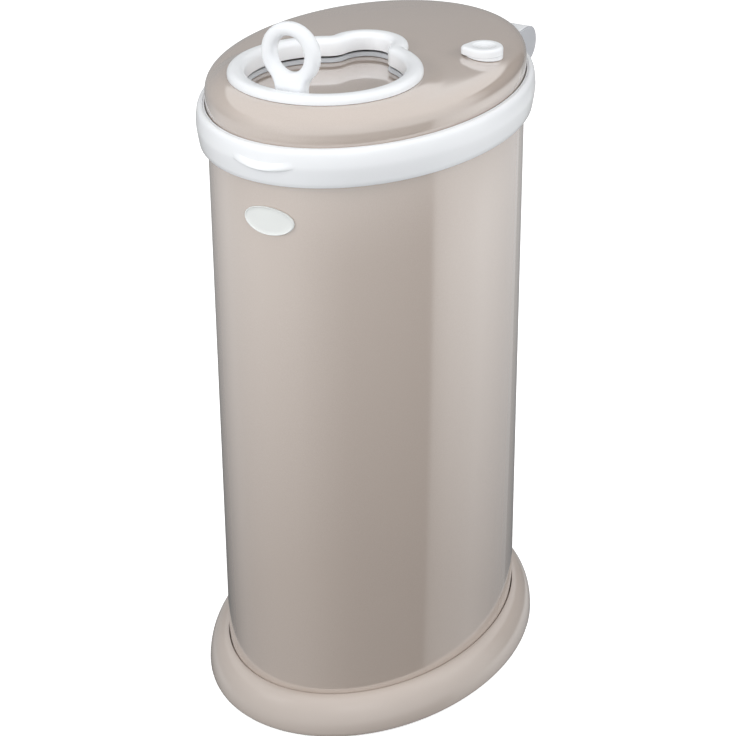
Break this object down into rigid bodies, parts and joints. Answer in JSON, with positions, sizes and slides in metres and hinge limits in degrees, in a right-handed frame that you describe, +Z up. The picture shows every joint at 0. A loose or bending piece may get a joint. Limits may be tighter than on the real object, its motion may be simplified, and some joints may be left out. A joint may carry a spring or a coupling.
{
  "type": "nappy bin",
  "caption": "oval steel nappy bin with a hinged lid, a keyhole opening shut by a sliding door with a loop handle, and a turning child lock",
  "frame": {"origin": "on the floor, under the middle of the bin's overall width and length", "axes": "+Z up; the bin's front, with the badge and finger tab, faces -Y and the lid hinge is at +Y; +X is to the right of someone facing the front, on the lock's side"},
  "size_m": [0.252, 0.345, 0.5692],
  "materials": {
    "champagne": "satin-gloss champagne coating on steel",
    "base": "light taupe moulding, glossy",
    "white": "glossy cool white moulding",
    "grey": "light grey moulding",
    "inner": "plain off-white inner moulding",
    "rubber": "grey sealing rubber, matt",
    "foot": "dark rubber, matt",
    "steel": "zinc-plated steel",
    "badge": "smooth off-white badge, bare"
  },
  "bodies": {
    "bin": {"body_shell": "champagne", "base_skirt": "base", "floor_pan": "inner", "foot_pad_1": "foot", "foot_pad_2": "foot", "foot_pad_3": "foot", "foot_pad_4": "foot", "top_rim": "white", "bag_ring": "white", "hinge_bracket": "white", "bracket_screw_1": "steel", "bracket_screw_2": "steel", "front_badge": "badge"},
    "lid": {"lid_cap": "champagne", "lid_band": "white", "lid_liner": "inner", "keyhole_bezel": "white", "opening_seal": "rubber", "lid_gasket": "rubber", "liner_screw_1": "steel", "liner_screw_2": "steel", "liner_screw_3": "steel", "liner_screw_4": "steel", "liner_screw_5": "steel", "liner_screw_6": "steel", "hinge_pin": "steel", "hinge_end_left": "grey", "hinge_end_right": "grey", "lock_bush": "white", "lock_nut": "steel"},
    "door": {"door_plate": "champagne", "door_handle": "white", "handle_screw_1": "steel", "handle_screw_2": "steel", "glide_shoe_1": "inner", "glide_shoe_2": "inner", "glide_shoe_3": "inner", "glide_shoe_4": "inner"},
    "lock": {"lock_knob": "white", "lock_lever": "inner", "lock_screw": "steel"}
  },
  "joints": [
    {"name": "lid_hinge", "type": "hinge", "parent": "bin", "child": "lid", "pos_m": [0, 0.15805, 0.4815], "axis": [-1, 0, 0], "range_deg": [0, 95]},
    {"name": "door_slide", "type": "slide", "parent": "lid", "child": "door", "axis": [0, 1, 0], "range_m": [0, 0.1174]},
    {"name": "lock_turn", "type": "hinge", "parent": "lid", "child": "lock", "pos_m": [0.082, 0.02455, 0.51], "axis": [0, 0, -1], "range_deg": [0, 45]}
  ]
}
